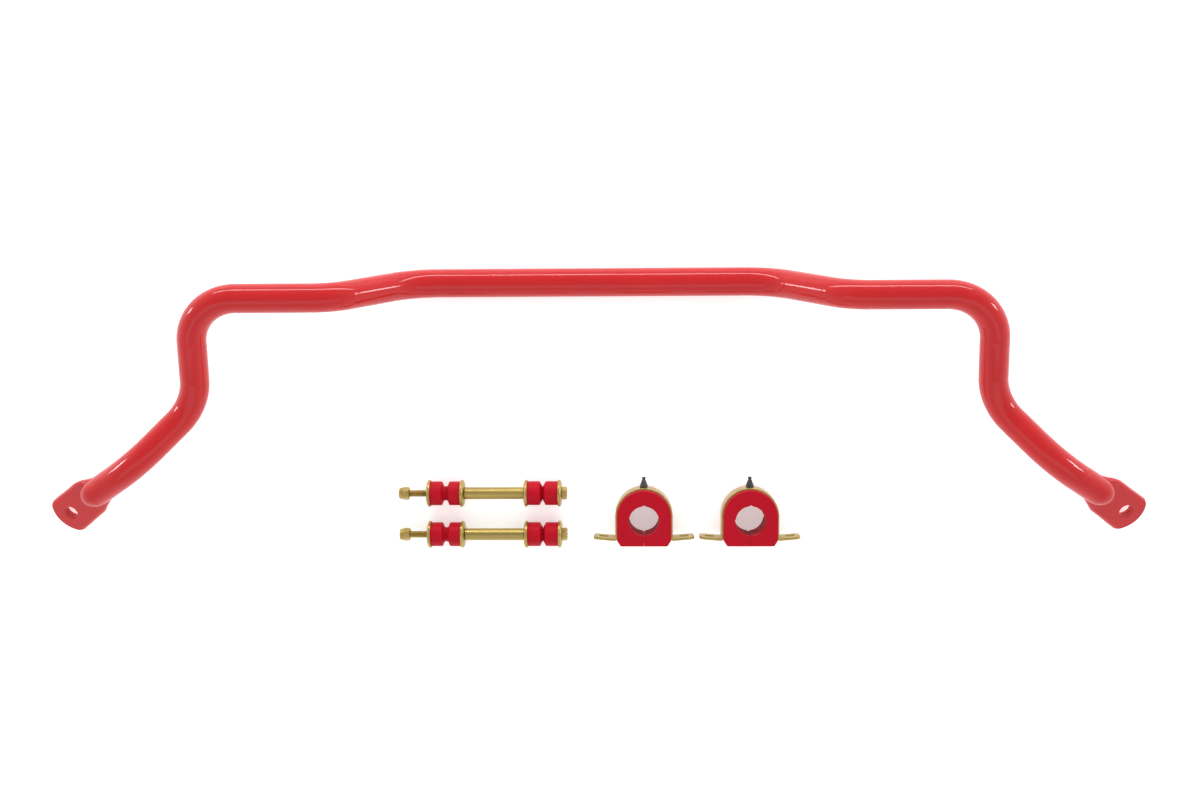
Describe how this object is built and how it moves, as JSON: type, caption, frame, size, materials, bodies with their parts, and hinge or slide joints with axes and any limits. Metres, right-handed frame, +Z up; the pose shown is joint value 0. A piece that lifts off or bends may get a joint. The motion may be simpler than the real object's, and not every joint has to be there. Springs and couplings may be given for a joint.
{
  "type": "sway bar",
  "caption": "Tubular front sway bar with flattened eyes, laid out with bolt-through end links and greasable split frame bushings in strap brackets.",
  "frame": {"origin": "centre of the underside of the laid-out kit's box, on the surface it lies on", "axes": "+X along the bar towards its right eye, +Y from the eyes towards the bar's centre section, +Z up"},
  "size_m": [1.2254, 0.3126, 0.1055],
  "materials": {
    "red_powder_coat": "glossy red powder coat over steel tube",
    "red_polyurethane": "satin red moulded polyurethane",
    "yellow_zinc_steel": "yellow zinc plated steel",
    "white_nylon": "natural nylon",
    "black_rubber": "matt black moulded rubber"
  },
  "bodies": {
    "sway_bar": {"sway_bar": "red_powder_coat"},
    "rear_link": {"rear_link_bolt": "yellow_zinc_steel", "rear_link_head_washer": "yellow_zinc_steel", "rear_link_head_bush": "red_polyurethane"},
    "rear_link_spacer": {"rear_link_spacer_sleeve": "yellow_zinc_steel", "rear_link_second_washer": "yellow_zinc_steel", "rear_link_third_washer": "yellow_zinc_steel", "rear_link_second_bush": "red_polyurethane", "rear_link_third_bush": "red_polyurethane"},
    "rear_link_outer_clamp": {"rear_link_outer_bush": "red_polyurethane", "rear_link_outer_washer": "yellow_zinc_steel"},
    "rear_link_nut_ring": {"rear_link_nylon_insert": "white_nylon"},
    "rear_link_nut": {"rear_link_lock_nut": "yellow_zinc_steel"},
    "front_link": {"front_link_bolt": "yellow_zinc_steel", "front_link_head_washer": "yellow_zinc_steel", "front_link_head_bush": "red_polyurethane"},
    "front_link_spacer": {"front_link_spacer_sleeve": "yellow_zinc_steel", "front_link_second_washer": "yellow_zinc_steel", "front_link_third_washer": "yellow_zinc_steel", "front_link_second_bush": "red_polyurethane", "front_link_third_bush": "red_polyurethane"},
    "front_link_outer_clamp": {"front_link_outer_bush": "red_polyurethane", "front_link_outer_washer": "yellow_zinc_steel"},
    "front_link_nut_ring": {"front_link_nylon_insert": "white_nylon"},
    "front_link_nut": {"front_link_lock_nut": "yellow_zinc_steel"},
    "left_bushing": {"left_frame_bushing": "red_polyurethane"},
    "left_bracket": {"left_bushing_bracket": "yellow_zinc_steel", "left_grease_fitting": "yellow_zinc_steel"},
    "left_cap": {"left_fitting_cap": "black_rubber"},
    "right_bushing": {"right_frame_bushing": "red_polyurethane"},
    "right_bracket": {"right_bushing_bracket": "yellow_zinc_steel", "right_grease_fitting": "yellow_zinc_steel"},
    "right_cap": {"right_fitting_cap": "black_rubber"}
  },
  "joints": [
    {"name": "rear_link_lift", "type": "slide", "parent": "sway_bar", "child": "rear_link", "axis": [0, 0, 1], "range_m": [0, 0.1]},
    {"name": "rear_spacer_slide", "type": "slide", "parent": "rear_link", "child": "rear_link_spacer", "axis": [-1, 0, 0], "range_m": [0, 0.004]},
    {"name": "rear_clamp_open", "type": "slide", "parent": "rear_link_spacer", "child": "rear_link_outer_clamp", "axis": [-1, 0, 0], "range_m": [0, 0.01]},
    {"name": "rear_nut_travel", "type": "slide", "parent": "rear_link", "child": "rear_link_nut_ring", "axis": [1, 0, 0], "range_m": [0, 0.00565]},
    {"name": "rear_nut_turn", "type": "hinge", "parent": "rear_link_nut_ring", "child": "rear_link_nut", "pos_m": [-0.2118, -0.09451, 0.0152], "axis": [1, 0, 0], "range_deg": [0, 1440]},
    {"name": "front_link_lift", "type": "slide", "parent": "sway_bar", "child": "front_link", "axis": [0, 0, 1], "range_m": [0, 0.1]},
    {"name": "front_spacer_slide", "type": "slide", "parent": "front_link", "child": "front_link_spacer", "axis": [-1, 0, 0], "range_m": [0, 0.004]},
    {"name": "front_clamp_open", "type": "slide", "parent": "front_link_spacer", "child": "front_link_outer_clamp", "axis": [-1, 0, 0], "range_m": [0, 0.01]},
    {"name": "front_nut_travel", "type": "slide", "parent": "front_link", "child": "front_link_nut_ring", "axis": [1, 0, 0], "range_m": [0, 0.00565]},
    {"name": "front_nut_turn", "type": "hinge", "parent": "front_link_nut_ring", "child": "front_link_nut", "pos_m": [-0.2118, -0.14111, 0.0152], "axis": [1, 0, 0], "range_deg": [0, 1440]},
    {"name": "left_bushing_lift", "type": "slide", "parent": "sway_bar", "child": "left_bushing", "axis": [0, 0, 1], "range_m": [0, 0.1]},
    {"name": "left_bracket_off", "type": "slide", "parent": "left_bushing", "child": "left_bracket", "axis": [0, 1, 0], "range_m": [0, 0.06]},
    {"name": "left_cap_off", "type": "slide", "parent": "left_bracket", "child": "left_cap", "axis": [0, 1, 0], "range_m": [0, 0.012]},
    {"name": "right_bushing_lift", "type": "slide", "parent": "sway_bar", "child": "right_bushing", "axis": [0, 0, 1], "range_m": [0, 0.1]},
    {"name": "right_bracket_off", "type": "slide", "parent": "right_bushing", "child": "right_bracket", "axis": [0, 1, 0], "range_m": [0, 0.06]},
    {"name": "right_cap_off", "type": "slide", "parent": "right_bracket", "child": "right_cap", "axis": [0, 1, 0], "range_m": [0, 0.012]}
  ],
  "couplings": [
    {"joint": "rear_nut_travel", "follows": "rear_nut_turn", "m_per_rad": 0.00022458},
    {"joint": "front_nut_travel", "follows": "front_nut_turn", "m_per_rad": 0.00022458}
  ]
}
